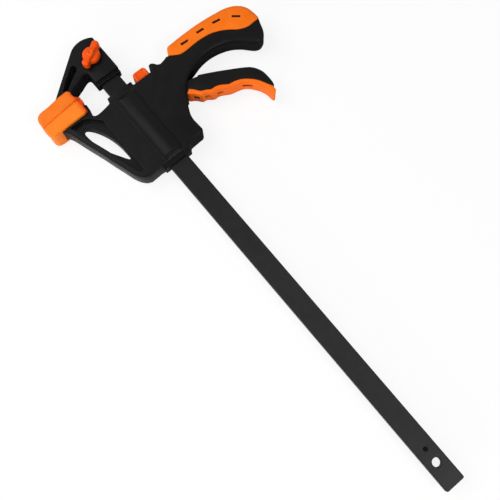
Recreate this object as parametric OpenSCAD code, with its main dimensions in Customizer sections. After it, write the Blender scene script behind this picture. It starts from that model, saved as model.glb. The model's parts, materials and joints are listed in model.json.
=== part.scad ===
// Quick release bar clamp, 12 inch class, lying on its side.
// X runs along the bar towards its free end, Y from the jaws towards the handle, and Z across the clamp.
// X = 0 is where the closed pads meet, Y = 0 the bar's centreline and Z = 0 its mid plane.

/* [Bar] */
// Width of the bar, across Y
bar_w = 18; // [17.6:0.1:18.2]
// Thickness of the bar, across Z
bar_t = 5; // [4.6:0.1:5.2]
// Distance from the pads' contact plane to the bar's free end
bar_reach = 437.5; // [200:0.5:1000]
// Radius of the hanging hole, which also takes the lock stud
bar_hole_r = 3.75; // [3.2:0.05:4]
// Distance from the free end to the hanging hole
tail_hole_inset = 21.5; // [12:0.5:30]
// Distance from the free end to the stop pin
stop_pin_inset = 34.2; // [30:0.1:60]

/* [Mouldings] */
// Half the thickness of the body, fixed jaw and handle
half_t = 9; // [9:0.1:9.4]
// Half the thickness of the soft handle grip
grip_half_t = 9.8; // [9.6:0.1:11]
// Half the width of the soft jaw pads
pad_half_t = 12; // [11:0.5:13]
// Half the thickness of the trigger where the fingers hold it
trigger_half_t = 8; // [7.5:0.1:8.5]
// Half the thickness of the web inside the moving jaw
web_half_t = 4; // [3:0.5:5]
// Radius of the tube that covers the bar and its spring
tube_r = 13.5; // [13.3:0.1:14]
// Half the width of the collars that guide the bar
collar_half_w = 12.9; // [12.5:0.1:13.2]
// Half the height of the collars that guide the bar
collar_half_h = 4.6; // [4.3:0.1:5]
// Half the width of the body's tail, where the bar leaves it
tail_half_w = 14; // [13:0.5:14.5]

/* [Mechanism] */
// Thickness of each drive plate
drive_plate_t = 3; // [2.5:0.1:3]
// Tilt of the drive plates on the bar, degrees
drive_tilt = 5; // [4:0.5:5]
// Thickness of the brake lever
brake_t = 3; // [2.5:0.1:3]
// Tilt of the brake lever where it grips the bar, degrees
brake_tilt = 6; // [5:0.5:6]
// Radius of the trigger's pivot pin
pin_r = 2.5; // [2:0.1:2.5]
// Radius of the lock stud
stud_r = 3; // [2.5:0.1:3]
// Turns in the drive spring
drive_turns = 6; // [4:1:7]
// Wire radius of the drive spring
drive_wire_r = 0.7; // [0.5:0.05:0.7]

/* [Hidden] */
$fn = 64;

fit = 0.2;              // gap between the bar and what slides on it
run = 0.06;             // radial clearance of a turning fit
over = 1;               // how far a cutter runs past what it cuts
cavity_half_t = 6.6;    // half width of the chambers inside the body
core_half_t = 6.2;      // half width of what moves in those chambers
stop_pin_r = 1.5;       // radius of the stop pin
stop_pin_half = 4;      // half the length of the stop pin
washer_t = 0.8;         // thickness of the lock washer, half of it sunk in the fixed jaw
washer_r = 6.2;         // radius of the lock washer
pin_half = half_t - 1;  // half the length of the trigger's pin
grip_core_half_t = 5.6; // half the thickness of the handle inside its soft grip

head_x = -41.5;                     // the bar's end inside the fixed jaw
stud = [-26.8, 0];                  // axis of the lock stud
pivot = [46.5, 33];                 // axis of the trigger's pin
push = [44.55, 14.5];               // centre of the trigger's round pushing nose
push_r = 3;                         // radius of that nose
brake_pivot = [24.5, -13.5];        // the end of the brake lever that stays put
spring_r = 10.4;                    // radius of the drive spring's coil
tube_x = [18.5, 87.5];              // ends of the tube over the bar
tail_x = 95.4;                      // the body's end, where it meets the stop pin
drive_x = [33, 84.5];               // ends of the drive chamber
plates_x = 48;                      // middle of the front drive plate on the bar's centreline
face_tilt = 5;                      // lean of the pads' faces, degrees
face_pivot_y = -50;                 // where the leaning faces cross X = 0

// ---- outlines -------------------------------------------------------------------------------

function blend(a, b, c, d, t) =
    (2 * b + (c - a) * t + (2 * a - 5 * b + 4 * c - d) * t * t + (3 * b - a - 3 * c + d) * t * t * t) / 2;

// A smooth line through the points, n steps from each to the next, both ends kept
function curve(p, n = 3) = [
    for (i = [0:len(p) - 2], k = [0:n - 1])
        blend(p[max(i - 1, 0)], p[i], p[i + 1], p[min(i + 2, len(p) - 1)], k / n),
    p[len(p) - 1]
];

function unit(v) = v / norm(v);
function flat(p) = [for (q = p) [q.x, q.y]];

// Points of an arc, each with the edge radius e
function arc(c, r, a0, a1, e, n) = [
    for (k = [0:n]) let (a = a0 + (a1 - a0) * k / n) [c.x + r * cos(a), c.y + r * sin(a), e]
];

// The closed outline moved inwards at each point by its own edge radius times share
function inset(p, share) = [
    for (i = [0:len(p) - 1])
        let (
            b = [p[i].x, p[i].y],
            u = unit(b - [p[(i + len(p) - 1) % len(p)].x, p[(i + len(p) - 1) % len(p)].y]),
            v = unit([p[(i + 1) % len(p)].x, p[(i + 1) % len(p)].y] - b),
            n = [-u.y - v.y, u.x + v.x] / max(1 + u * v, 0.5)
        )
        b + n * p[i].z * share
];

function inside(q, a, b, c) =
    cross(b - a, q - a) >= 0 && cross(c - b, q - b) >= 0 && cross(a - c, q - c) >= 0;

// Whether corner i of the remaining corners can be cut off as a triangle that holds no other corner
function is_ear(p, left, i) =
    let (m = len(left), a = left[(i + m - 1) % m], b = left[i], c = left[(i + 1) % m])
    cross(p[b] - p[a], p[c] - p[b]) > 0
        && len([for (k = left) if (k != a && k != b && k != c && inside(p[k], p[a], p[b], p[c])) k]) == 0;

function first_ear(p, left, i = 0) = i >= len(left) || is_ear(p, left, i) ? i : first_ear(p, left, i + 1);

// Triangles that fill the outline p, as indices; left holds the corners not yet cut off
function triangles(p, left) =
    len(left) == 3 ? [left] :
    let (m = len(left), i = first_ear(p, left))
    assert(i < m, "this outline crosses itself")
    concat([[left[(i + m - 1) % m], left[i], left[(i + 1) % m]]],
           triangles(p, [for (k = [0:m - 1]) if (k != i) left[k]]));

// A plate of the outline, z = 0 at its middle, with round edges. Each outline point is [x, y, edge radius],
// anticlockwise.
module slab(p, half, steps = 3) {
    n = len(p);
    levels = [for (s = [-1, 1], k = [0:steps]) s < 0 ? [-1, 90 - 90 * k / steps] : [1, 90 * k / steps]];
    cap = triangles(inset(p, 1), [for (i = [0:n - 1]) i]);
    rings = [
        for (l = levels)
            let (ring = inset(p, 1 - cos(l[1])))
                for (i = [0:n - 1]) [ring[i].x, ring[i].y, l[0] * (half - p[i].z * (1 - sin(l[1])))]
    ];
    last = (len(levels) - 1) * n;
    polyhedron(rings, [
        each cap,
        for (r = [0:len(levels) - 2], i = [0:n - 1]) let (a = r * n + i, b = r * n + (i + 1) % n)
            each [[a, a + n, b], [b, a + n, b + n]],
        for (t = cap) [t[2] + last, t[1] + last, t[0] + last]
    ]);
}

// A coil round X: centre line radius r, wire radius w, from x0 to x1
module coil(r, w, x0, x1, turns, per_turn = 18, sides = 7) {
    n = turns * per_turn;
    rise = (x1 - x0 - 2 * w) / n;
    points = [
        for (i = [0:n], k = [0:sides - 1])
            let (a = 360 * i / per_turn, b = 360 * k / sides, q = r + w * cos(b))
                [x0 + w + rise * i + w * sin(b), q * cos(a), q * sin(a)]
    ];
    polyhedron(points, [
        [for (k = [sides - 1:-1:0]) k],
        for (i = [0:n - 1], k = [0:sides - 1])
            let (a = i * sides + k, b = i * sides + (k + 1) % sides)
                each [[a, b, a + sides], [b, b + sides, a + sides]],
        [for (k = [0:sides - 1]) n * sides + k]
    ]);
}

module along_x(x0, x1) {
    translate([x0, 0, 0]) rotate([90, 0, 90]) linear_extrude(x1 - x0) children();
}

module both_sides(z0, z1) {
    for (s = [0, 1])
        mirror([0, 0, s]) translate([0, 0, z0]) linear_extrude(z1 - z0) children();
}

module plate(half) {
    translate([0, 0, -half]) linear_extrude(2 * half) children();
}

function face_x(y) = -(y - face_pivot_y) * tan(face_tilt);

// ---- bar ------------------------------------------------------------------------------------

module bar() {
    corner = 1.5;
    color("#2d2d2f")
    difference() {
        plate(bar_t / 2)
            polygon(flat(concat(
                arc([bar_reach - corner, -bar_w / 2 + corner], corner, -90, 0, 0, 5),
                arc([bar_reach - corner, bar_w / 2 - corner], corner, 0, 90, 0, 5),
                [[head_x, bar_w / 2, 0], [head_x, -bar_w / 2, 0]]
            )));
        translate([bar_reach - tail_hole_inset, 0, 0])
            cylinder(r = bar_hole_r, h = bar_t + over, center = true);
        translate([stud.x, stud.y, 0]) cylinder(r = bar_hole_r, h = bar_t + over, center = true);
        translate([bar_reach - stop_pin_inset, 0, 0])
            cylinder(r = stop_pin_r, h = bar_t + over, center = true);
    }
}

module bar_stop_pin() {
    chamfer = 0.5;
    color("#b9bcc0")
    translate([bar_reach - stop_pin_inset, 0, 0])
        rotate_extrude()
            polygon([[0, -stop_pin_half], [stop_pin_r - chamfer, -stop_pin_half],
                     [stop_pin_r, -stop_pin_half + chamfer], [stop_pin_r, stop_pin_half - chamfer],
                     [stop_pin_r - chamfer, stop_pin_half], [0, stop_pin_half]]);
}

// ---- fixed jaw ------------------------------------------------------------------------------

jaw_head_r = 19.9;      // round back of the fixed jaw
jaw_head_x = -27.2;     // its centre
jaw_slope = 218;        // where on the round head the jaw's straight back leaves it, degrees

fixed_jaw_outline = concat(
    [[-5.7, -12, 0.8], [-5.7, 12, 0.8], [jaw_head_x - jaw_head_r * cos(37), 12, 1.4]],
    arc([jaw_head_x, 0], jaw_head_r, 148, jaw_slope, 1.4, 12),
    [[-8, -57, 0.8], [-8, -65, 0.8], [-7.2, -68, 0.8], [-5.4, -68, 0.8], [-3.6, -66, 0.8]],
    [[-4.4, -36.5, 0.8], [-6, -35.6, 0.8]],
    curve([[-11.2, -33.4, 1], [-13.4, -28.6, 1], [-15.5, -23, 1], [-17.6, -18.1, 1], [-18.6, -14.5, 1],
           [-17.5, -12.4, 1], [-14.5, -12, 0.8]])
);

// The hollow between the jaw's outer and inner flange; its lower end runs under the pad
fixed_jaw_pocket = flat(curve([[-16.2, -39.6], [-22.8, -32.1], [-26.8, -26.4], [-31.4, -20], [-31.2, -17.4],
                               [-28.2, -16.3], [-25.2, -17.8], [-22.4, -22], [-19, -28], [-14.4, -35.4]]));

module fixed_jaw() {
    pocket_depth = 7;
    collar_x = [-8, -3.5];
    color("#242426")
    difference() {
        union() {
            slab(fixed_jaw_outline, half_t);
            along_x(collar_x[0], collar_x[1]) collar_shape(collar_half_w - 0.6);
        }
        translate([head_x, -bar_w / 2 - fit / 2, -bar_t / 2 - fit / 2])
            cube([collar_x[1] - head_x + over, bar_w + fit, bar_t + fit]);
        both_sides(half_t - pocket_depth, half_t + over) polygon(fixed_jaw_pocket);
        translate([stud.x, stud.y, 0]) cylinder(r = stud_r + run, h = 2 * half_t + over, center = true);
        translate([stud.x, stud.y, -half_t - over]) cylinder(r = nut_r + 0.1, h = nut_h + over, $fn = 6);
        translate([stud.x, stud.y, half_t - washer_t / 2]) cylinder(r = washer_r + 0.3, h = over);
    }
}

module collar_shape(half_w) {
    r = 1.5;
    polygon(flat(concat(
        arc([half_w - r, -collar_half_h + r], r, -90, 0, 0, 4),
        arc([half_w - r, collar_half_h - r], r, 0, 90, 0, 4),
        arc([-half_w + r, collar_half_h - r], r, 90, 180, 0, 4),
        arc([-half_w + r, -collar_half_h + r], r, 180, 270, 0, 4)
    )));
}

// Soft boot on the fixed jaw. Its contact face leans with the other pad's.
fixed_pad_outline = concat(
    [[face_x(-69.8) - 0.05, -69.8, 1.5], [face_x(-34.6) - 0.05, -34.6, 1.5]],
    curve([[-3.6, -34.1, 1.2], [-8, -35.3, 1.2], [-11, -34.9, 1.2], [-13.6, -37.2, 1.2]]),
    curve([[-13.3, -46, 1.2], [-11.6, -58, 1.2], [-11.3, -65.6, 1.4], [-9.4, -70.2, 1.6], [-5.2, -72.3, 1.6],
           [0.6, -71.9, 1.2]])
);

// The lips at the top of both pads, thinner than the pads
fixed_pad_lip = concat(
    [[face_x(-44) - 0.15, -44, 0.5], [face_x(-31.4) - 0.15, -31.4, 0.5]],
    curve([[-3, -30.9, 0.6], [-4.4, -32.4, 0.8], [-6.6, -34.4, 0.8], [-7, -38, 0.8]])
);

module fixed_jaw_pad() {
    color("#ff7a22")
    difference() {
        union() {
            slab(fixed_pad_outline, pad_half_t, 4);
            slab(fixed_pad_lip, half_t);
        }
        plate(half_t) polygon(flat(fixed_jaw_outline));
    }
}

// ---- lock -----------------------------------------------------------------------------------

nut_r = 5.8;
nut_h = 5;
knob_z = half_t + 0.5;
hub_r = 7.8;
stud_sink = 6.2;        // how far the stud goes into the knob
knob_angle = 119;

module lock_nut() {
    color("#a9abb0")
    translate([stud.x, stud.y, -half_t])
        difference() {
            cylinder(r = nut_r, h = nut_h, $fn = 6);
            translate([0, 0, -over]) cylinder(r = stud_r + run, h = nut_h + 2 * over);
        }
}

module lock_washer() {
    color("#a9abb0")
    translate([stud.x, stud.y, half_t - washer_t / 2])
        difference() {
            cylinder(r = washer_r, h = washer_t);
            translate([0, 0, -over]) cylinder(r = stud_r + 0.3, h = washer_t + 2 * over);
        }
}

knob_wing = concat(
    curve([[2, -2.9, 1.5], [5.6, -2.8, 1.5], [8.8, -3.3, 1.5], [11.6, -2.7, 1.5], [12.6, 0, 1.5],
           [11.6, 2.7, 1.5], [8.8, 3.3, 1.5], [5.6, 2.8, 1.5], [2, 2.9, 1.5]]),
    curve([[-2, 2.9, 1.5], [-5.6, 2.8, 1.5], [-8.8, 3.3, 1.5], [-11.6, 2.7, 1.5], [-12.6, 0, 1.5],
           [-11.6, -2.7, 1.5], [-8.8, -3.3, 1.5], [-5.6, -2.8, 1.5], [-2, -2.9, 1.5]])
);

// Round hub of the knob under its wing
knob_hub = [for (a = [0:9:351]) [hub_r * cos(a), hub_r * sin(a), 2.4]];

module lock_knob() {
    hub_h = 6.2;
    wing_h = 8;
    top = 8.6;
    boss_h = 0.6;
    dimple_r = 1.6;
    color("#ff6a20")
    translate([stud.x, stud.y, knob_z])
        difference() {
            union() {
                translate([0, 0, hub_h / 2]) slab(knob_hub, hub_h / 2, 4);
                translate([0, 0, top - wing_h / 2]) rotate(knob_angle) slab(knob_wing, wing_h / 2, 4);
                translate([0, 0, top - boss_h]) cylinder(r1 = 3.4, r2 = 2.6, h = 2 * boss_h);
            }
            translate([0, 0, -over]) cylinder(r = stud_r, h = stud_sink + 0.3 + over);
            translate([0, 0, top]) cylinder(r = dimple_r, h = over);
        }
}

module lock_stud() {
    chamfer = 0.6;
    length = half_t + knob_z + stud_sink - chamfer;
    color("#a9abb0")
    translate([stud.x, stud.y, -half_t + chamfer])
        rotate_extrude()
            polygon([[0, 0], [stud_r - chamfer, 0], [stud_r, chamfer], [stud_r, length], [0, length]]);
}

// ---- moving jaw, body and handle ------------------------------------------------------------

// Where the black handle meets its soft grip, from the bottom up
handle_seam = curve([[15.4, 54.2, 0.5], [18, 58, 0.5], [20, 62, 0.5], [20.5, 68, 0.5], [20, 75, 0.5],
                     [19.8, 83, 0.5], [20.3, 90, 0.5], [21.6, 96.5, 0.5], [24.5, 103.5, 0.5], [28.5, 110, 0.5],
                     [32.7, 115.3, 0.5], [35.5, 120.5, 0.5], [36.9, 126, 0.5], [36.7, 131.5, 0.5],
                     [36.2, 137.4, 0.5]], 2);

function reversed(p) = [for (i = [len(p) - 1:-1:0]) p[i]];

jaw_body_outline = concat(
    // back end, upwards
    [[92.8, -27.8, 1.6], [92.2, -16.6, 1.4], [92.4, -14.6, 1], [92.4, 14.6, 1], [90.2, 17.6, 1.4],
     [89.8, 28, 2]],
    arc([86, 29], 4, 10, 90, 2.2, 4),
    // top of the body, in front of the trigger
    curve([[76.1, 32.4, 2], [70.9, 33.1, 2], [66.4, 34.9, 1.8], [61.4, 37.4, 1.4], [57.4, 39.6, 1.2],
           [53.5, 41.2, 1.2], [49.6, 44, 1.2], [44.8, 48.8, 1.6], [40.8, 54, 2], [38.2, 58.8, 2.6]], 2),
    // inner side and end of the handle
    curve([[36.8, 64.2, 3.2], [34.7, 71, 3.4], [33.6, 78.2, 3.4], [33.6, 85.7, 3.4], [35.1, 94.3, 3.4],
           [38.4, 103.2, 3.4], [43.8, 111, 3.4], [49.4, 116.3, 3.4], [53.1, 120.3, 3.4], [54.6, 125, 3.4],
           [52.5, 130.1, 3.4], [47, 134, 3.2], [40.9, 136, 2.4]], 3),
    reversed(handle_seam),
    // front of the body, downwards, with the nub that shields the release button
    curve([[13.8, 50.6, 1], [15.2, 46, 1], [15.8, 42.4, 1], [14.6, 39.8, 0.8], [12.2, 38.2, 0.8],
           [10.4, 35.9, 0.8], [10.9, 33.2, 0.8], [13.6, 32.4, 0.8]], 2),
    [[17, 32.4, 0.6], [17, 12.9, 0.6], [17, -12.9, 0.6]],
    curve([[18.3, -16.3, 1], [19.3, -22, 1], [19.9, -27.6, 1], [19.3, -31, 1], [16.8, -32.8, 1],
           [12.5, -31.2, 1]], 3),
    [[6.6, -30.7, 0.8], [5.2, -32, 0.8]],
    [[5.2, -65, 0.8], [7, -68.6, 0.8], [9.8, -68.4, 0.8]],
    // outer flange of the jaw
    curve([[14.8, -59.8, 1.8], [20.1, -57.3, 2], [30.4, -54.1, 2], [40.7, -50.8, 2], [51.1, -47.4, 2],
           [61.4, -44.5, 2], [71.4, -41.3, 2], [80.7, -38.6, 2], [87, -35.6, 2], [91, -31.9, 1.8]], 2)
);

// The part of the handle that the soft grip is moulded round
grip_core = concat(
    [[22, 63], [21.5, 75], [21.3, 83], [22.5, 96], [30, 110], [37, 122], [38, 133]],
    flat(curve([[33, 133.3], [26.5, 132.2], [22, 129.4], [18, 124], [15.3, 117], [13.3, 108], [11.7, 96],
                [11, 84], [11.3, 72], [12.6, 62.5], [15.2, 57.8]], 2)),
    [[18, 57]]
);

// The hollow on each side of the jaw's web
web_outline = concat(
    [[27.2, -28.4], [17.8, -37.2], [15.2, -42.2], [15.2, -54.4]],
    flat(curve([[20.6, -52.2], [30, -49.4], [40, -46.2], [50.4, -42.7], [60.6, -39.7], [71, -37.1],
                [79, -35.1], [83.6, -33], [85.4, -30.4]], 2)),
    [[84.6, -28.4]]
);

// The long opening through the web
lens = concat(
    flat(curve([[20.8, -46.1], [24.4, -47.5], [31.1, -47.2], [41.2, -45.3], [51.3, -41.6], [61, -36.2],
                [66.4, -33], [68.3, -31.2], [66.8, -30.1]], 3)),
    flat(curve([[64, -29.9], [56, -30.1], [47.5, -31.1], [38, -33.6], [28.5, -37.9], [22.8, -42],
                [20.6, -44.6]], 3))
);

// Height of the tube along the bar: a soft ramp at its front, level up to where the tail begins
tube_profile = concat(
    curve([[tube_x[0], half_t - 1], [21.6, 11.2], [24.6, 13], [28.5, tube_r]]),
    [[tube_x[1], tube_r]]
);

module tube() {
    thin = 0.1;
    intersection() {
        translate([tube_x[0], 0, 0]) rotate([0, 90, 0]) cylinder(r = tube_r, h = tube_x[1] - tube_x[0]);
        rotate([90, 0, 0]) plate(tube_r + over)
            polygon(concat(tube_profile, [for (q = reversed(tube_profile)) [q.x, -q.y]]));
    }
    hull() {
        along_x(tube_x[1] - thin, tube_x[1]) circle(tube_r);
        along_x(tail_x - thin, tail_x) collar_shape(tail_half_w);
    }
}

module jaw_body() {
    collar_x = [11, 21];
    color("#242426")
    difference() {
        union() {
            slab(jaw_body_outline, half_t);
            plate(grip_core_half_t) polygon(grip_core);
            grip_ribs(grip_half_t - 0.9);
            tube();
            along_x(collar_x[0], collar_x[1]) collar_shape(collar_half_w);
        }
        bar_way();
        drive_chamber();
        trigger_slot();
        brake_chamber();
        both_sides(web_half_t, half_t + over) polygon(web_outline);
        plate(web_half_t + over) polygon(lens);
        translate([pivot.x, pivot.y, 0]) cylinder(r = pin_r, h = 2 * (pin_half + 0.1), center = true);
    }
}

module bar_way() {
    translate([0, -bar_w / 2 - fit, -bar_t / 2 - fit])
        cube([tail_x + over, bar_w + 2 * fit, bar_t + 2 * fit]);
}

module drive_chamber() {
    plates_room_x = 28;
    plates_room_y = [-13.4, 21];
    translate([drive_x[0], 0, 0]) rotate([0, 90, 0])
        cylinder(r = spring_r + drive_wire_r + 0.5, h = drive_x[1] - drive_x[0]);
    translate([drive_x[0], plates_room_y[0], -cavity_half_t])
        cube([plates_room_x, plates_room_y[1] - plates_room_y[0], 2 * cavity_half_t]);
}

module trigger_slot() {
    plate(cavity_half_t)
        polygon([[drive_x[0] + over, 16], [57.5, 16], [57.5, 36], [62, 42], [62, 62], [37.6, 62], [35.6, 59.5],
                 [34.6, 50], [34, 38]]);
}

// Room for the lever and its spring, the seat of the lever's lower end, and the button's way out
module brake_chamber() {
    room = [[18.2, -12], [30, 31.6]];
    seat = [[22.7, -16.2], [26.5, -11.5]];
    way_out = [[16, 15.6], [20, 32]];
    plate(cavity_half_t) {
        rectangle(room);
        rectangle(seat);
    }
    plate(button_half_t + 0.4) rectangle(way_out);
}

module rectangle(c) {
    translate(c[0]) square(c[1] - c[0]);
}

moving_pad_outline = concat(
    [[face_x(-34.6) + 0.05, -34.6, 1.5], [face_x(-69.8) + 0.05, -69.8, 1.5]],
    curve([[3.4, -71.9, 1.2], [7, -72, 1.6], [10.8, -71.6, 1.6], [13.1, -69.3, 1.6], [13.9, -64, 1.2],
           [13.7, -54, 1.2], [13.5, -43, 1.2], [13.4, -36.8, 1.2]], 3),
    curve([[12.2, -33.7, 1], [9.2, -33.8, 1.2], [5.6, -33.4, 1.2], [2.2, -33.9, 1]], 3)
);

moving_pad_lip = concat(
    [[face_x(-31.4) + 0.15, -31.4, 0.5], [face_x(-44) + 0.15, -44, 0.5]],
    [[4.6, -44, 0.8], [6.2, -36, 0.8]],
    curve([[4.6, -32.6, 0.8], [3.2, -31.4, 0.6], [0.4, -30.9, 0.5]])
);

module moving_jaw_pad() {
    color("#ff7a22")
    difference() {
        union() {
            slab(moving_pad_outline, pad_half_t, 4);
            slab(moving_pad_lip, half_t);
        }
        plate(half_t) polygon(flat(jaw_body_outline));
    }
}

handle_grip_outline = concat(
    handle_seam,
    curve([[33.6, 138.3, 2.6], [28.2, 138.4, 4], [21.9, 137.4, 4.2], [16.2, 134.1, 4.2], [11.4, 128.3, 4.2],
           [8.4, 120.8, 4.2], [6.9, 111.6, 4.2], [5.6, 100, 4.2], [5, 89.1, 4.2], [5, 79, 4.2],
           [5.3, 69, 4.2], [5.9, 61, 3.8], [6.9, 57, 2.8], [10.4, 54.4, 1.6], [14.2, 52.6, 0.7]], 3)
);

// Middle and direction of each short window in the side of the grip, filled by a rib of the black core
grip_windows = [[13.6, 71.4, 86], [13.3, 89.2, 86], [15, 106.2, 80], [22.4, 123, 51]];

module grip_ribs(top) {
    both_sides(grip_core_half_t - over, top)
        for (g = grip_windows)
            translate([g.x, g.y]) rotate(g[2]) square([7.8, 2.4], center = true);
}

module handle_grip() {
    color("#ff8020")
    difference() {
        slab(handle_grip_outline, grip_half_t, 4);
        plate(grip_core_half_t) polygon(grip_core);
        grip_ribs(grip_half_t + over);
    }
}

// ---- trigger --------------------------------------------------------------------------------

trigger_seam = curve([[50.5, 46.8, 0.4], [53.4, 49.9, 0.4], [58.4, 53.6, 0.4], [60.3, 57.6, 0.4],
                      [63, 61.9, 0.4], [63.4, 66.7, 0.4], [65.4, 71.4, 0.4], [68.9, 76.5, 0.4],
                      [69.8, 81.4, 0.4], [71.7, 87, 0.4], [75, 92, 0.4], [79.6, 96.8, 0.4],
                      [84.5, 100.2, 0.4], [90, 102.8, 0.4], [94.7, 105.4, 0.4]], 2);

trigger_back = curve([[94.6, 106.7, 0.7], [91.2, 107.9, 1.5], [85.3, 108.4, 2.2], [78.7, 108.1, 2.4],
                      [72.8, 105.9, 2.4],
                      [67.5, 101.9, 2.4], [62.5, 94.6, 2.4], [57.4, 85.9, 2.4], [52.1, 76.7, 2.4],
                      [47.4, 67.6, 2.2], [44.8, 61.6, 1.4]], 2);

trigger_outline = concat([[48.4, 51.4, 0.4]], trigger_seam, trigger_back);

trigger_root = [[40.4, 32], [42.3, 48], [44.6, 59], [48, 64], [60, 62], [59, 57], [57, 54], [53, 50.4],
                [50.5, 46.8], [53, 43.4], [56.2, 41.6], [56.4, 38], [52.6, 31]];

module pin_hole() {
    translate([pivot.x, pivot.y, 0]) cylinder(r = pin_r + run, h = 2 * half_t, center = true);
}

module trigger() {
    boss_r = 6.4;
    color("#242426")
    difference() {
        union() {
            slab(trigger_outline, trigger_half_t);
            trigger_teeth(window_half_t, 0.9);
            plate(core_half_t) {
                polygon(trigger_root);
                translate(pivot) circle(boss_r);
                translate(push) circle(push_r);
                polygon([[pivot.x - boss_r, pivot.y], [push.x - push_r, push.y], [push.x + 1, push.y],
                         [push.x + 1, push.y + 6.5], [pivot.x + boss_r, pivot.y]]);
            }
        }
        pin_hole();
    }
}

trigger_grip_outline = concat(
    reversed(trigger_seam),
    [[53, 43.4, 0.4]],
    curve([[54.6, 44.6, 0.8], [56.5, 47.6, 1.2], [59.5, 50.3, 1.4], [62.3, 52.6, 1.4], [62.5, 55.5, 1.3],
           [63.6, 57.8, 1.2], [65.5, 59.9, 1.2], [67, 62.8, 1.4], [66.9, 65.7, 1.3], [67.7, 68.3, 1.4],
           [69.7, 71.8, 1.8], [72.3, 76.4, 1.8], [73.6, 82, 1.8], [75.5, 87.8, 1.8], [78.6, 92, 1.8],
           [83, 95.6, 1.8], [87.8, 98.5, 1.8], [93.8, 100.5, 1.5], [99.2, 100.9, 1.1], [101, 102.6, 0.8],
           [99, 105, 0.5]], 2)
);

// Windows in the front of the trigger's grip, filled by teeth of the black core: a point on the grip's front,
// the direction it faces and the window's length
window_half_t = 1.7;
trigger_windows = [[58.5, 48.6, -52, 5.5], [62.8, 57, -14, 4.5], [67.2, 68, -17, 5.5], [77.6, 91, -38, 9]];

module trigger_teeth(half, depth) {
    back = 8;
    plate(half)
        for (w = trigger_windows)
            translate([w.x, w.y]) rotate(w[2]) translate([-back, -w[3] / 2]) square([back - depth, w[3]]);
}

module trigger_grip() {
    color("#ff7420")
    difference() {
        slab(trigger_grip_outline, trigger_half_t, 4);
        trigger_teeth(window_half_t, -3);
    }
}

module trigger_pin() {
    color("#a9abb0")
    translate([pivot.x, pivot.y, 0]) cylinder(r = pin_r, h = 2 * pin_half, center = true);
}

// ---- drive ----------------------------------------------------------------------------------

drive_plate_y = [-12.4, 18.5];  // ends of the drive plates

// A plate with a window for the bar, leaning so that the window's edges grip it
module tilted_plate(t, tilt, y) {
    window = (bar_w + fit + t * sin(abs(tilt))) / cos(tilt);
    rotate(tilt)
        difference() {
            translate([-t / 2, y[0], -core_half_t]) cube([t, y[1] - y[0], 2 * core_half_t]);
            translate([-t, -window / 2, -bar_t / 2 - fit]) cube([2 * t, window, bar_t + 2 * fit]);
        }
}

module drive_plate_front() {
    color("#8d9096")
    translate([plates_x, 0, 0]) tilted_plate(drive_plate_t, -drive_tilt, drive_plate_y);
}

module drive_plate_rear() {
    pitch = (drive_plate_t + 0.05) / cos(drive_tilt);
    color("#8d9096")
    translate([plates_x + pitch, 0, 0]) tilted_plate(drive_plate_t, -drive_tilt, drive_plate_y);
}

spring_start = plates_x + 2 * drive_plate_t + 1.4;
washer_x = drive_x[1] - 1;      // front of the washer behind the drive spring

module drive_spring() {
    color("#b4b7bb")
    coil(spring_r, drive_wire_r, spring_start, washer_x - 0.1, drive_turns);
}

module spring_washer() {
    color("#a9abb0")
    translate([washer_x, 0, 0])
        difference() {
            rotate([0, 90, 0]) cylinder(r = spring_r + drive_wire_r + 0.3, h = 1);
            translate([-over, -bar_w / 2 - fit, -bar_t / 2 - fit])
                cube([3, bar_w + 2 * fit, bar_t + 2 * fit]);
        }
}

// ---- brake ----------------------------------------------------------------------------------

brake_top = 43.5;       // length of the lever above its pivot

module brake_lever() {
    window = bar_w + 0.8;
    middle = -brake_pivot.y;
    color("#8d9096")
    translate([brake_pivot.x, brake_pivot.y, 0]) rotate(brake_tilt)
        difference() {
            translate([-brake_t / 2, -2, -core_half_t]) cube([brake_t, brake_top + 2, 2 * core_half_t]);
            translate([-brake_t, middle - window / 2, -bar_t / 2 - fit])
                cube([2 * brake_t, window, bar_t + 2 * fit]);
        }
}

button = [11.8, 13.6];   // length and width of the release button
button_at = [6.4, 16.8]; // its lower outer corner
button_half_t = 5.6;

// The button's outline, or the dish in its sides when margin is more than 0
function button_shape(margin, back, r, e) = concat(
    arc([margin + r, margin + r], r, 180, 270, e, 4),
    [[back, margin, 0.8], [back, button.y - margin, 0.8]],
    arc([margin + r, button.y - margin - r], r, 90, 180, e, 4)
);

module release_button() {
    color("#ff6a20")
    translate([button_at.x, button_at.y, 0])
        difference() {
            slab(button_shape(0, button.x, 3.2, 1.6), button_half_t, 4);
            both_sides(button_half_t - 0.7, button_half_t + over)
                polygon(flat(button_shape(2.3, 8.4, 1.6, 0)));
        }
}

module brake_spring() {
    coil_r = 3;
    wire_r = 0.4;
    x = [22.6, 29.9];
    y = 23;
    color("#b4b7bb")
    translate([0, y, 0]) coil(coil_r, wire_r, x[0], x[1], turns = 5, per_turn = 14, sides = 6);
}

// ---- one solid for each name ----------------------------------------------------------------

bar();
bar_stop_pin();
fixed_jaw();
fixed_jaw_pad();
lock_nut();
lock_washer();
lock_knob();
lock_stud();
jaw_body();
moving_jaw_pad();
handle_grip();
trigger_pin();
trigger();
trigger_grip();
drive_plate_front();
drive_plate_rear();
drive_spring();
spring_washer();
brake_lever();
release_button();
brake_spring();
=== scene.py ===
"""Looks of the quick release bar clamp: materials, edge smoothing, light and camera.

The frame's solids are shown as they are. Only the two springs are stood for by copies.
"""
import json
import math

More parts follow.
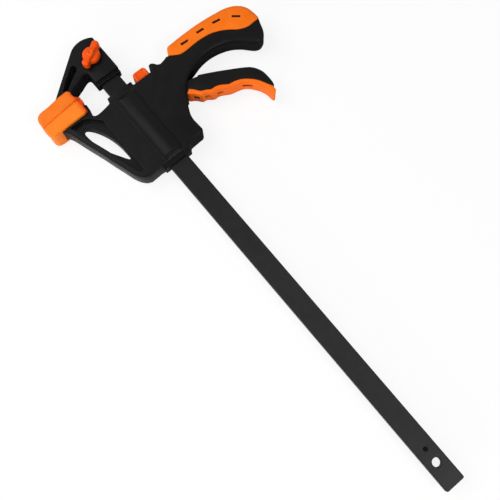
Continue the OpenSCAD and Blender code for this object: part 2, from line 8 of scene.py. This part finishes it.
import bpy
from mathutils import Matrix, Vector


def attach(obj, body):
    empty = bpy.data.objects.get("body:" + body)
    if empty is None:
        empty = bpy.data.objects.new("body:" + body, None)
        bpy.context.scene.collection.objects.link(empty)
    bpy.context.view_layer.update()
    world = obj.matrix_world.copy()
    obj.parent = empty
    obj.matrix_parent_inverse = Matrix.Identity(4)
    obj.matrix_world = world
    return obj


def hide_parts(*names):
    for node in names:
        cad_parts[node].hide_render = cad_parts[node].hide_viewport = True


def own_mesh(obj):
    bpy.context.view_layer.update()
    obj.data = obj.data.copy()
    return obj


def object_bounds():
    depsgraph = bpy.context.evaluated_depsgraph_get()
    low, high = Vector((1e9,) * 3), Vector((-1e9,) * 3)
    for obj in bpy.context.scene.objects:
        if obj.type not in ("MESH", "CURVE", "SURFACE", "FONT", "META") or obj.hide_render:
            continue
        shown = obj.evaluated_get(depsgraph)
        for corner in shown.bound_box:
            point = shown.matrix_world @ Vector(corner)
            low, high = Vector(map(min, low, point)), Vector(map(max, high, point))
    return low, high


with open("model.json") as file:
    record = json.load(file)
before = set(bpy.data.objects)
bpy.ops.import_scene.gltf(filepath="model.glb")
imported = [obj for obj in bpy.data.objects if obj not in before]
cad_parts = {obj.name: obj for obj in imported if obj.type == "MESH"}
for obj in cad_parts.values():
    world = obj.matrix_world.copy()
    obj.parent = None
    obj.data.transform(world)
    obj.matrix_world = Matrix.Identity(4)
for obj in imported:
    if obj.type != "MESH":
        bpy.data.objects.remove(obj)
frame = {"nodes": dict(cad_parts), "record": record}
cad_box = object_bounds()
nodes = frame["nodes"]
scene = bpy.context.scene


# ---- node helpers ----------------------------------------------------------------------------

def new_material(name):
    material = bpy.data.materials.new(name)
    material.use_nodes = True
    tree = material.node_tree
    shader = tree.nodes["Principled BSDF"]
    return material, tree, shader


def add(tree, kind, **values):
    """A new node with the given values in its inputs, or in its settings where no input has the name."""
    node = tree.nodes.new(kind)
    for key, value in values.items():
        if key in node.inputs:
            node.inputs[key].default_value = value
        else:
            setattr(node, key, value)
    return node


def link(tree, a, b):
    tree.links.new(a, b)


def coords(tree, scale=(1.0, 1.0, 1.0)):
    """Object coordinates in metres, stretched by scale."""
    tex = tree.nodes.new("ShaderNodeTexCoord")
    mapping = add(tree, "ShaderNodeMapping", Scale=scale)
    link(tree, tex.outputs["Object"], mapping.inputs["Vector"])
    return mapping.outputs["Vector"]


def noise(tree, vector, scale, detail=2.0, rough=0.5):
    node = add(tree, "ShaderNodeTexNoise", Scale=scale, Detail=detail, Roughness=rough)
    link(tree, vector, node.inputs["Vector"])
    return node.outputs["Fac"]


def spread(tree, value, lo, hi, to_lo=0.0, to_hi=1.0):
    """The range from lo to hi drawn out to that from to_lo to to_hi, with the rest held at its ends."""
    node = tree.nodes.new("ShaderNodeMapRange")
    for key, v in (("From Min", lo), ("From Max", hi), ("To Min", to_lo), ("To Max", to_hi)):
        node.inputs[key].default_value = v
    link(tree, value, node.inputs["Value"])
    return node.outputs["Result"]


def along(tree, axis, start, end):
    """0 to 1 as the object coordinate on the axis goes from start to end, in metres."""
    split = tree.nodes.new("ShaderNodeSeparateXYZ")
    link(tree, coords(tree), split.inputs[0])
    return spread(tree, split.outputs[axis], start, end)


def maths(tree, operation, a, b):
    node = add(tree, "ShaderNodeMath", operation=operation)
    link(tree, a, node.inputs[0])
    link(tree, b, node.inputs[1])
    return node.outputs[0]


def mix(tree, fac, a, b):
    """Colour a to b by fac; a and b are colours or sockets."""
    node = add(tree, "ShaderNodeMix", data_type="RGBA")
    link(tree, fac, node.inputs["Factor"])
    first, second, result = 6, 7, 2     # places of the colour sockets among the node's inputs and outputs
    for index, value in ((first, a), (second, b)):
        if isinstance(value, bpy.types.NodeSocket):
            link(tree, value, node.inputs[index])
        else:
            node.inputs[index].default_value = (*value, 1.0)
    return node.outputs[result]


def rounded(tree, radius):
    """The normal with its edges rounded by radius, and a mask that is 1 along outer and inner edges."""
    flat, bent = 0.99, 0.86         # cosines of the angle between the face's normal and the rounded one
    bevel = add(tree, "ShaderNodeBevel", samples=6, Radius=radius)
    geometry = tree.nodes.new("ShaderNodeNewGeometry")
    dot = add(tree, "ShaderNodeVectorMath", operation="DOT_PRODUCT")
    link(tree, bevel.outputs["Normal"], dot.inputs[0])
    link(tree, geometry.outputs["Normal"], dot.inputs[1])
    return bevel.outputs["Normal"], spread(tree, dot.outputs["Value"], flat, bent)


def surface(tree, shader, colour, rough, height, depth, normal, specular):
    """Joins colour, roughness and a bump of the given depth in metres to the shader."""
    link(tree, colour, shader.inputs["Base Color"])
    link(tree, rough, shader.inputs["Roughness"])
    shader.inputs["Specular IOR Level"].default_value = specular
    bump = add(tree, "ShaderNodeBump", Strength=1.0, Distance=depth)
    link(tree, height, bump.inputs["Height"])
    link(tree, normal, bump.inputs["Normal"])
    link(tree, bump.outputs["Normal"], shader.inputs["Normal"])


# ---- materials -------------------------------------------------------------------------------

# Noise scales are in waves a metre. Most of a noise's values lie in these ranges, and the rest are held at
# their ends
MOST_NOISE = (0.32, 0.68)
WIDE_NOISE = (0.3, 0.7)


def moulded(name, dark, light, wear_and_highlight, rough, specular, grain, grain_scale=2600.0, round_edge=0.0007,
            lip_shade=None, dull=0.0, dull_y=None):
    """A moulded plastic or elastomer: spark-eroded grain, slow colour drift, edges paler from wear and
    painted highlight.

    grain is the grain's depth in metres, and a jaw pad's thin upper end can be given a deeper, redder colour
    as painted shade. dull is how much rougher a surface looks at a low angle, everywhere or, with dull_y,
    setting in along Y between its two values.
    """
    drift_scale = 60.0
    smear_scale = 260.0
    lip_shade_y = (-0.0385, -0.0345)      # where the painted shade on the pad's thin upper end starts and where it is full
    edge_smear = (0.4, 0.62)        # values of the smear at which an edge is least and most pale (wear and painted highlight)
    edge_share = (0.2, 0.8)         # how much of the pale edge colour shows there
    low_angle = (0.3, 0.65)         # Layer Weight's Facing where the dulling starts and where it is full
    material, tree, shader = new_material(name)
    at = coords(tree)
    drift = spread(tree, noise(tree, at, drift_scale, detail=6.0, rough=0.68), *MOST_NOISE)
    fine = noise(tree, at, grain_scale, detail=3.0, rough=0.6)
    smear = noise(tree, at, smear_scale, detail=4.0, rough=0.6)
    normal, edges = rounded(tree, round_edge)
    colour = mix(tree, drift, dark, light)
    # A jaw pad's thin upper end goes deeper and redder: painted shade
    if lip_shade:
        colour = mix(tree, along(tree, "Y", *lip_shade_y), colour, lip_shade)
    # Edges go paler: partly wear, partly painted highlight
    edge_tint = maths(tree, "MULTIPLY", edges, spread(tree, smear, *edge_smear, *edge_share))
    colour = mix(tree, edge_tint, colour, wear_and_highlight)
    gloss = spread(tree, smear, *WIDE_NOISE, rough - 0.05, rough + 0.06)
    if dull:
        facing = add(tree, "ShaderNodeLayerWeight", Blend=0.5).outputs["Facing"]
        more = spread(tree, facing, *low_angle, 0.0, dull)
        if dull_y:
            more = maths(tree, "MULTIPLY", more, along(tree, "Y", *dull_y))
        gloss = maths(tree, "ADD", gloss, more)
    surface(tree, shader, colour, gloss, fine, grain, normal, specular)
    return material


def nylon(name, dull_y=None):
    # The pale edge colour is partly wear and partly painted highlight
    return moulded(name, (0.0054, 0.0055, 0.0055), (0.0080, 0.0081, 0.0078), wear_and_highlight=(0.045, 0.045, 0.045),
                   rough=0.35, specular=0.06, grain=0.00003, dull=0.6, dull_y=dull_y)


def elastomer(name, dark, light, lip_shade=None):
    # The pale edge colour is partly wear and partly painted highlight
    return moulded(name, dark, light, wear_and_highlight=(1.0, 0.29, 0.04), rough=0.55, specular=0.15, grain=0.00004,
                   grain_scale=1900.0, lip_shade=lip_shade)


def metal(name, dark, light, edge, rough, metallic, brush, specular=0.5, round_edge=0.0004, head_shade=None):
    """A metal with a fine grain, patches of wear and edges of their own colour.

    brush is the grain's waves a metre along each axis. The bar's end near the head can be given a darker
    colour, painted shade, which gives way to the bar's own colour as x grows.
    """
    patch_scale = 110.0
    worn_patch = (0.42, 0.65)       # values of the patches at which an edge shows least and most wear
    edge_share = (0.4, 1.0)         # how much of the edge's colour shows there
    head_shade_x = (0.02, 0.24)          # where the painted shade near the head starts to fade and where it is gone
    grain_depth = 0.000012
    material, tree, shader = new_material(name)
    grain = noise(tree, coords(tree, brush), 1.0, detail=4.0, rough=0.65)
    patches = noise(tree, coords(tree), patch_scale, detail=4.0, rough=0.6)
    normal, edges = rounded(tree, round_edge)
    colour = mix(tree, spread(tree, patches, *MOST_NOISE), dark, light)
    # The bar's end near the head is darker: painted shade, fading out along X
    if head_shade:
        colour = mix(tree, along(tree, "X", *head_shade_x), head_shade, colour)
    edge_tint = maths(tree, "MULTIPLY", edges, spread(tree, patches, *worn_patch, *edge_share))
    colour = mix(tree, edge_tint, colour, edge)
    shader.inputs["Metallic"].default_value = metallic
    gloss = spread(tree, grain, *WIDE_NOISE, rough - 0.07, rough + 0.07)
    surface(tree, shader, colour, gloss, grain, grain_depth, normal, specular)
    return material


# The body's mould is polished along the jaw's flange and coarse on the handle, the fixed jaw's is all coarse
black_nylon = nylon("black_nylon", dull_y=(-0.002, 0.030))
jaw_nylon = nylon("jaw_nylon")
soft_orange = elastomer("soft_orange", (0.86, 0.155, 0.004), (0.94, 0.186, 0.008))
# Both pads' thin upper ends take a deeper, redder colour as painted shade
pad_orange = elastomer("pad_orange", (0.89, 0.185, 0.009), (0.96, 0.225, 0.016), lip_shade=(0.84, 0.085, 0.006))
# The fixed jaw's pad: the moving pad's orange made darker as painted shade
shaded_pad_orange = elastomer("shaded_pad_orange", (0.83, 0.160, 0.008), (0.90, 0.198, 0.014), lip_shade=(0.80, 0.080, 0.006))
trigger_orange = elastomer("trigger_orange", (0.87, 0.138, 0.004), (0.94, 0.165, 0.008))
# The paler, wider edge rim is partly wear and partly painted highlight
orange_plastic = moulded("orange_plastic", (0.82, 0.072, 0.002), (0.90, 0.094, 0.004),
                         wear_and_highlight=(1.0, 0.23, 0.015), rough=0.28, specular=0.12, grain=0.00001,
                         round_edge=0.0011)
# The bar's darker end near the head is painted shade
bar_finish = metal("bar_finish", (0.0165, 0.0165, 0.0166), (0.0210, 0.0210, 0.0212),
                   edge=(0.0008, 0.0008, 0.0008), rough=0.36, metallic=0.0, brush=(60.0, 2500.0, 2500.0),
                   specular=0.10, round_edge=0.0016, head_shade=(0.0030, 0.0030, 0.0031))
bright_steel = metal("bright_steel", (0.50, 0.50, 0.51), (0.64, 0.64, 0.65), edge=(0.75, 0.75, 0.76),
                     rough=0.3, metallic=1.0, brush=(900.0, 900.0, 900.0))
black_steel = metal("black_steel", (0.0010, 0.0010, 0.0010), (0.0020, 0.0020, 0.0020),
                    edge=(0.012, 0.012, 0.012), rough=0.45, metallic=0.0, brush=(900.0, 900.0, 900.0),
                    specular=0.05)
hard_steel = metal("hard_steel", (0.22, 0.22, 0.23), (0.32, 0.32, 0.33), edge=(0.45, 0.45, 0.46),
                   rough=0.4, metallic=1.0, brush=(900.0, 120.0, 900.0))

FINISH = {
    "black_nylon": black_nylon,
    "soft_orange": soft_orange,
    "orange_plastic": orange_plastic,
    "bar_finish": bar_finish,
    "bright_steel": bright_steel,
    "hard_steel": hard_steel,
}
# Nodes whose material isn't their slot's: the fixed jaw comes from another mould, the moving pad and trigger
# grip from batches whose orange differs a little, the fixed jaw's pad is painted shade on that orange, the
# stop pin is blackened
BATCH = {
    "fixed_jaw": jaw_nylon,
    "fixed_jaw_pad": shaded_pad_orange,
    "moving_jaw_pad": pad_orange,
    "trigger_grip": trigger_orange,
    "bar_stop_pin": black_steel,
}


# ---- CAD nodes -------------------------------------------------------------------------------

WELD_DISTANCE = 2e-6        # points closer than this, in metres, are one point
SHARP_ANGLE = 34            # degrees; edges that bend more stay sharp


def smoothing_group(angle):
    """Geometry nodes: join the faces, shade smooth and keep edges sharper than angle."""
    group = bpy.data.node_groups.new(f"smooth_{angle}", "GeometryNodeTree")
    group.interface.new_socket("Geometry", in_out="INPUT", socket_type="NodeSocketGeometry")
    group.interface.new_socket("Geometry", in_out="OUTPUT", socket_type="NodeSocketGeometry")
    start = group.nodes.new("NodeGroupInput")
    end = group.nodes.new("NodeGroupOutput")
    merge = group.nodes.new("GeometryNodeMergeByDistance")
    merge.inputs["Distance"].default_value = WELD_DISTANCE
    faces = group.nodes.new("GeometryNodeSetShadeSmooth")
    faces.domain = "FACE"
    faces.inputs["Shade Smooth"].default_value = True
    bend = group.nodes.new("GeometryNodeInputMeshEdgeAngle")
    above = group.nodes.new("FunctionNodeCompare")
    above.data_type = "FLOAT"
    above.operation = "GREATER_THAN"
    above.inputs["B"].default_value = math.radians(angle)
    edges = group.nodes.new("GeometryNodeSetShadeSmooth")
    edges.domain = "EDGE"
    edges.inputs["Shade Smooth"].default_value = False
    group.links.new(start.outputs[0], merge.inputs["Geometry"])
    group.links.new(merge.outputs["Geometry"], faces.inputs["Geometry"])
    group.links.new(faces.outputs["Geometry"], edges.inputs["Geometry"])
    group.links.new(bend.outputs["Unsigned Angle"], above.inputs["A"])
    group.links.new(above.outputs["Result"], edges.inputs["Selection"])
    group.links.new(edges.outputs["Geometry"], end.inputs[0])
    return group


SMOOTH = smoothing_group(SHARP_ANGLE)


def soften(obj):
    """Shades the solid's facets smooth, apart from its real edges."""
    layer = obj.data.attributes.get("custom_normal")
    if layer:
        obj.data.attributes.remove(layer)
    weld = obj.modifiers.new("join", "WELD")
    weld.merge_threshold = WELD_DISTANCE
    look = obj.modifiers.new("smooth", "NODES")
    look.node_group = SMOOTH


slots = {s["node"]: s["material_slot"] for s in frame["record"]["subparts"]}
for name, obj in nodes.items():
    obj.data.materials.clear()
    obj.data.materials.append(BATCH.get(name, FINISH[slots[name]]))
    soften(obj)


def shortening_coil(node):
    """Stands for a CAD spring with a copy of it that the jaw slider carries, and hides the CAD spring.
    """
    coil = nodes[node].copy()
    coil.data = nodes[node].data.copy()
    coil.name = node + "_coil"
    coil.parent = None
    scene.collection.objects.link(coil)
    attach(coil, "jaw_slider")
    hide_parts(node)
    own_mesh(coil)


# Both springs are stood for by copies that the jaw slider carries
shortening_coil("drive_spring")
shortening_coil("brake_spring")


# ---- floor, light and camera -----------------------------------------------------------------

scene.view_settings.view_transform = "Standard"


def seen_directly(tree, mirrored):
    """1 for camera and transmission rays, mirrored for glossy rays, 0 for rays that only carry light."""
    path = tree.nodes.new("ShaderNodeLightPath")
    straight = maths(tree, "MAXIMUM", path.outputs["Is Camera Ray"], path.outputs["Is Transmission Ray"])
    glossy = spread(tree, path.outputs["Is Glossy Ray"], 0.0, 1.0, 0.0, mirrored)
    return maths(tree, "MAXIMUM", straight, glossy)


def floor_material():
    """A matt pale floor that reads as white paper, keeps a light shadow and turns white far away."""
    near, far = 0.5, 2.5            # distances from the origin between which the floor turns white
    white_share = 0.84              # how much of the near floor's look is plain white
    material, tree, shader = new_material("floor")
    speckle = noise(tree, coords(tree), 900.0, detail=3.0)
    link(tree, mix(tree, speckle, (0.92, 0.92, 0.92), (0.94, 0.94, 0.94)), shader.inputs["Base Color"])
    shader.inputs["Roughness"].default_value = 0.9
    shader.inputs["Specular IOR Level"].default_value = 0.0
    glow = add(tree, "ShaderNodeEmission", Strength=1.0)
    away = add(tree, "ShaderNodeVectorMath", operation="LENGTH")
    link(tree, coords(tree), away.inputs[0])
    white = spread(tree, away.outputs["Value"], near, far, white_share, 1.0)
    blend = tree.nodes.new("ShaderNodeMixShader")
    link(tree, maths(tree, "MULTIPLY", seen_directly(tree, mirrored=0.1), white), blend.inputs[0])
    link(tree, shader.outputs[0], blend.inputs[1])
    link(tree, glow.outputs[0], blend.inputs[2])
    link(tree, blend.outputs[0], tree.nodes["Material Output"].inputs["Surface"])
    return material


def make_floor():
    half = 6.0
    gap = 0.0002                    # between the floor and the clamp's lowest point
    z = cad_box[0][2] - gap
    corners = [(-half, -half, z), (half, -half, z), (half, half, z), (-half, half, z)]
    sheet = bpy.data.meshes.new("floor")
    sheet.from_pydata(corners, [], [(0, 1, 2, 3)])
    sheet.materials.append(floor_material())
    floor = bpy.data.objects.new("floor", sheet)
    scene.collection.objects.link(floor)


def make_world():
    """White where it is seen or mirrored, and a weak light all round."""
    light, white = 0.1, 1.0
    world = bpy.data.worlds.new("studio")
    scene.world = world
    world.use_nodes = True
    tree = world.node_tree
    background = tree.nodes["Background"]
    background.inputs["Color"].default_value = (1, 1, 1, 1)
    strength = spread(tree, seen_directly(tree, mirrored=1.0), 0.0, 1.0, light, white)
    link(tree, strength, background.inputs["Strength"])


def softbox(name, at, aim, size, watts):
    """A rectangular lamp of the given size in metres, at one point and aimed at another."""
    data = bpy.data.lights.new(name, "AREA")
    data.shape = "RECTANGLE"
    data.size, data.size_y = size
    data.energy = watts
    lamp = bpy.data.objects.new(name, data)
    lamp.location = at
    lamp.rotation_euler = (Vector(aim) - Vector(at)).to_track_quat("-Z", "Y").to_euler()
    scene.collection.objects.link(lamp)
    return lamp


def place_camera():
    """The photograph's viewpoint, fitted to the bar's edges."""
    camera = bpy.data.objects.new("camera", bpy.data.cameras.new("camera"))
    scene.collection.objects.link(camera)
    scene.camera = camera
    camera.data.sensor_width = 36.0
    camera.data.lens = 51.49
    camera.data.clip_start = 0.01
    camera.location = (0.3071, -0.0963, 0.5757)
    camera.rotation_euler = (math.radians(14.278), 0.0, math.radians(50.418))


make_floor()
make_world()
softbox("key", at=(-0.58, -0.64, 1.32), aim=(0.08, 0, 0), size=(1.3, 1.3), watts=19)
softbox("fill", at=(1.0, 0.18, 1.2), aim=(0.12, 0, 0), size=(0.4, 0.4), watts=8)
side = softbox("side", at=(-1.2, 0.8, 0.7), aim=(0.08, 0.05, 0), size=(0.6, 0.4), watts=2)
low = softbox("low", at=(0.55, -1.4, 0.5), aim=(0.08, 0, 0), size=(1.2, 0.5), watts=13)
side.visible_glossy = False
low.visible_glossy = False
place_camera()
